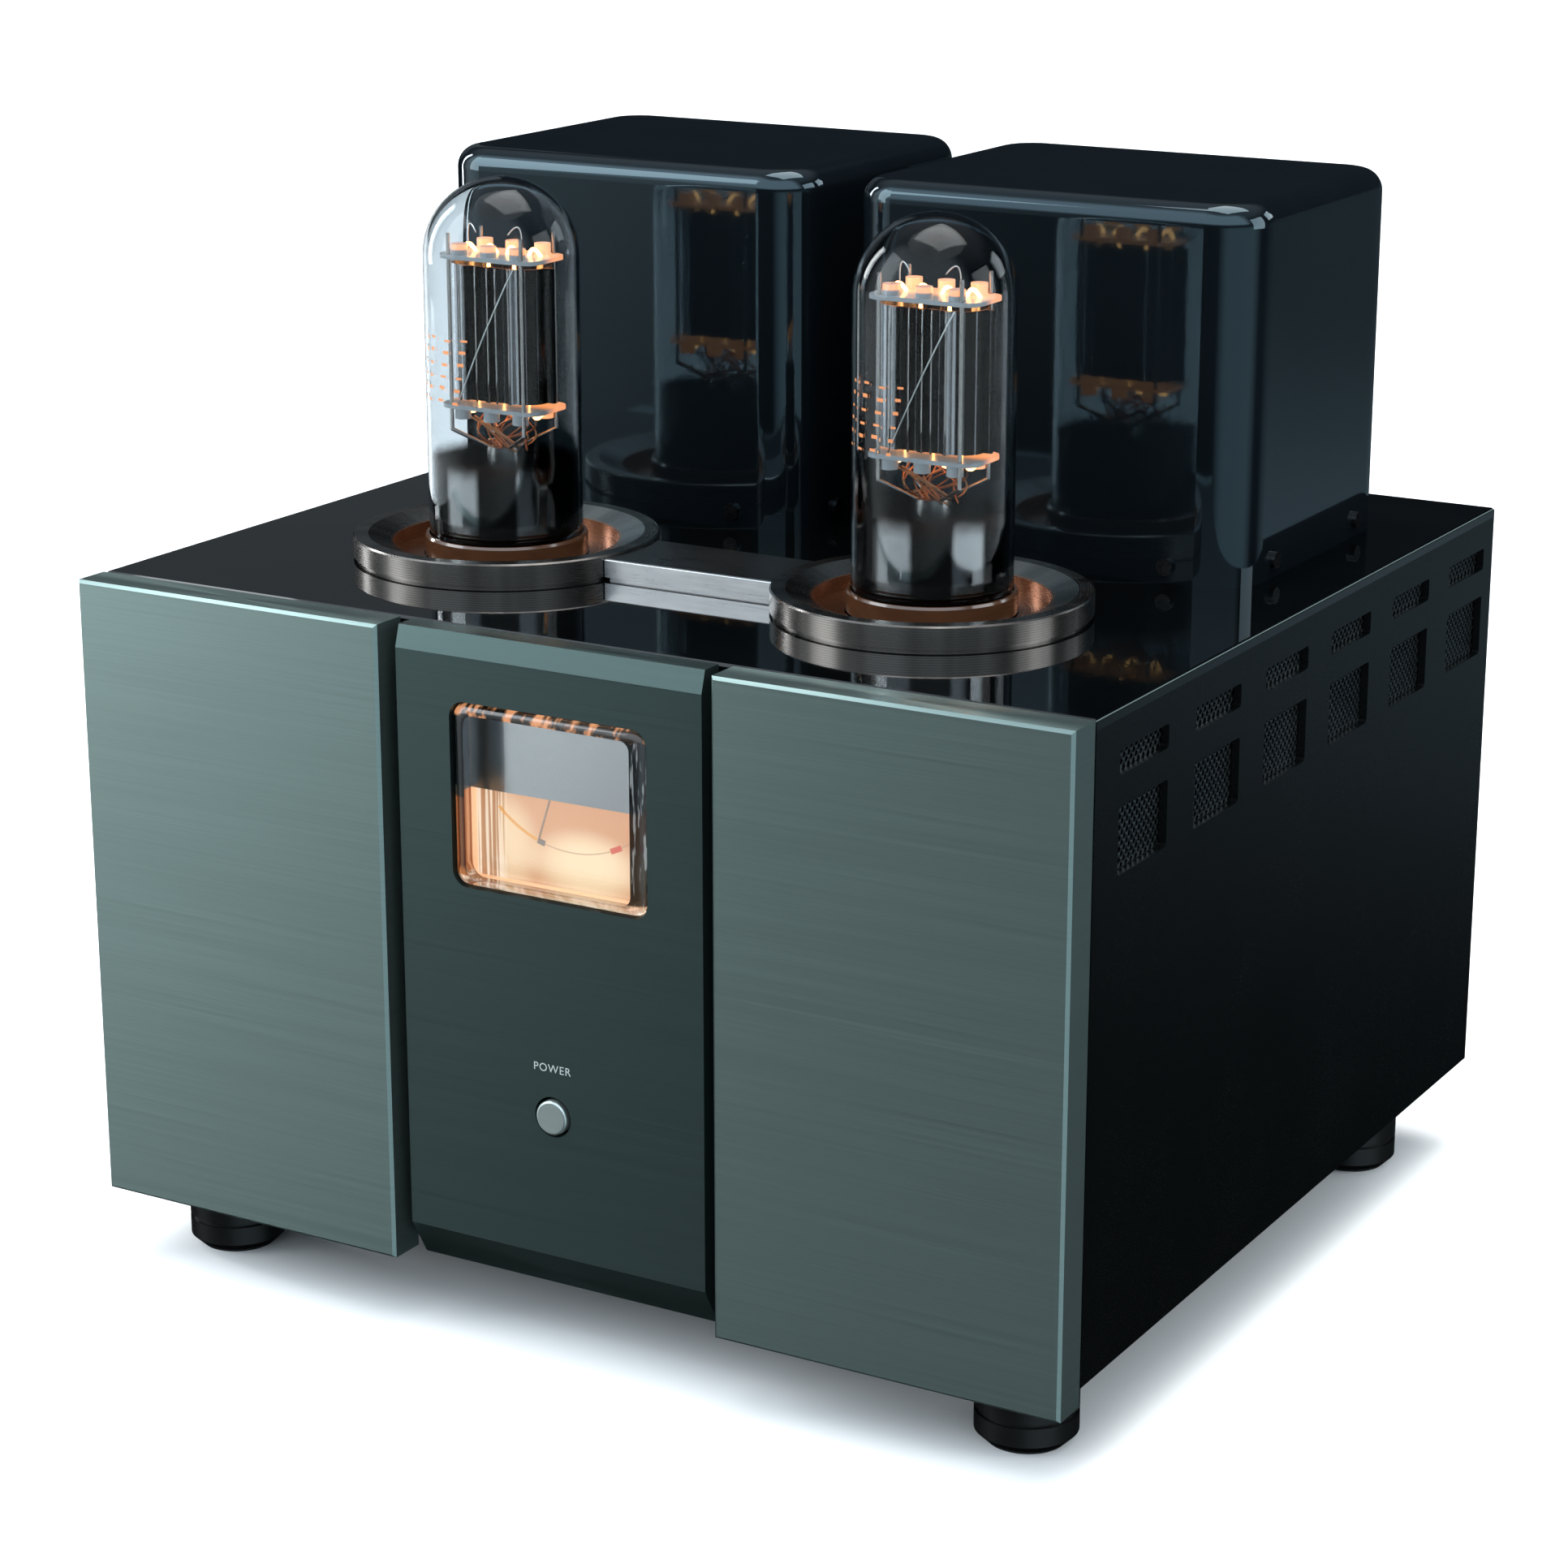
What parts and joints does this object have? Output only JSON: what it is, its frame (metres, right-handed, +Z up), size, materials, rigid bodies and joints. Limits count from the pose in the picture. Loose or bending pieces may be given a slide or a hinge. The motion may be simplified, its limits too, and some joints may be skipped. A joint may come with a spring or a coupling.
{
  "type": "tube amplifier",
  "caption": "Free-standing valve power amplifier: a boxed chassis with thick front plates and a lit meter, large valves in dished rings on the deck, and covered transformers behind them.",
  "frame": {"origin": "centre of the bounding box's bottom, on the surface that the feet stand on", "axes": "+Z up, the front plates face -Y, the terminals face +Y"},
  "size_m": [0.43, 0.4262, 0.434],
  "materials": {
    "front_anodise": "brushed grey-green anodised",
    "deck_gloss": "mirror-gloss black",
    "case_satin": "satin blue-black",
    "cover_gloss": "gloss blue-black",
    "plain_steel": "zinc plated",
    "black_steel": "matt black",
    "ring_metal": "polished, warm tinted",
    "bar_metal": "polished",
    "foot_metal": "satin black",
    "rubber": "matt",
    "screw_black": "blackened steel",
    "screw_steel": "zinc plated",
    "valve_glass": "clear blown glass",
    "valve_collar": "dark brown, semi-gloss",
    "anode_metal": "carbonised nickel",
    "spacer_ceramic": "unglazed white",
    "filament_wire": "hot tungsten",
    "support_wire": "bright nickel wire",
    "socket_ceramic": "glazed white",
    "core_steel": "laminated",
    "coil_tape": "varnished",
    "lens_clear": "polished crystal",
    "meter_black": "satin",
    "dial_card": "lit from behind",
    "mask_silver": "satin silver",
    "needle_black": "matt",
    "lamp_glass": "lit lamp",
    "button_metal": "satin anodised",
    "switch_plastic": "moulded",
    "board_green": "printed board",
    "capacitor_black": "sleeved cans",
    "driver_glass": "clear",
    "inlet_plastic": "moulded",
    "jack_gold": "gold plated",
    "post_gold": "gold plated",
    "cap_red": "clear red sleeve",
    "cap_black": "black sleeve",
    "mesh_black": "satin black"
  },
  "bodies": {
    "root": {"base_plate": "black_steel", "board_standoffs": "plain_steel", "centre_panel": "front_anodise", "chassis_rails": "plain_steel", "circuit_board": "board_green", "cover_screws": "screw_black", "driver_valves": "driver_glass", "filter_capacitors": "capacitor_black", "foot_front_left": "foot_metal", "foot_front_right": "foot_metal", "foot_pads": "rubber", "foot_rear_left": "foot_metal", "foot_rear_right": "foot_metal", "foot_screws": "screw_steel", "front_subpanel": "black_steel", "front_wing_left": "front_anodise", "front_wing_right": "front_anodise", "input_jack": "jack_gold", "mains_inlet": "inlet_plastic", "meter_dial": "dial_card", "meter_housing": "meter_black", "meter_lamps": "lamp_glass", "meter_lens": "lens_clear", "meter_mask": "mask_silver", "nameplate_bar": "bar_metal", "output_transformer_coil": "coil_tape", "output_transformer_core": "core_steel", "panel_screws": "screw_black", "power_switch": "switch_plastic", "power_transformer_coil": "coil_tape", "power_transformer_core": "core_steel", "rear_panel": "case_satin", "side_panel_left": "case_satin", "side_panel_right": "case_satin", "socket_ring_left": "ring_metal", "socket_ring_right": "ring_metal", "terminal_posts": "post_gold", "top_plate": "deck_gloss", "transformer_cover_left": "cover_gloss", "transformer_cover_right": "cover_gloss", "valve_socket_left": "socket_ceramic", "valve_socket_right": "socket_ceramic", "vent_mesh_left": "mesh_black", "vent_mesh_right": "mesh_black"},
    "valve_left": {"valve_anode_left": "anode_metal", "valve_base_left": "valve_collar", "valve_filament_left": "filament_wire", "valve_glass_left": "valve_glass", "valve_spacers_left": "spacer_ceramic", "valve_supports_left": "support_wire"},
    "valve_right": {"valve_anode_right": "anode_metal", "valve_base_right": "valve_collar", "valve_filament_right": "filament_wire", "valve_glass_right": "valve_glass", "valve_spacers_right": "spacer_ceramic", "valve_supports_right": "support_wire"},
    "needle": {"meter_needle": "needle_black"},
    "button": {"power_button": "button_metal"},
    "cap_red": {"terminal_cap_red": "cap_red"},
    "cap_black": {"terminal_cap_black": "cap_black"}
  },
  "joints": [
    {"name": "power_button_press", "type": "slide", "parent": "root", "child": "button", "axis": [0, 1, 0], "range_m": [0, 0.003], "stiffness_N_per_m": 400, "springref_m": -0.0005},
    {"name": "meter_needle_swing", "type": "hinge", "parent": "root", "child": "needle", "pos_m": [0, -0.18535, 0.2476], "axis": [0, 1, 0], "range_deg": [-63, 27], "stiffness_Nm_per_rad": 0.002},
    {"name": "valve_left_lift", "type": "slide", "parent": "root", "child": "valve_left", "axis": [0, 0, 1], "range_m": [0, 0.06]},
    {"name": "valve_right_lift", "type": "slide", "parent": "root", "child": "valve_right", "axis": [0, 0, 1], "range_m": [0, 0.06]},
    {"name": "terminal_cap_red_unscrew", "type": "slide", "parent": "root", "child": "cap_red", "axis": [0, 1, 0], "range_m": [0, 0.005]},
    {"name": "terminal_cap_black_unscrew", "type": "slide", "parent": "root", "child": "cap_black", "axis": [0, 1, 0], "range_m": [0, 0.005]}
  ]
}
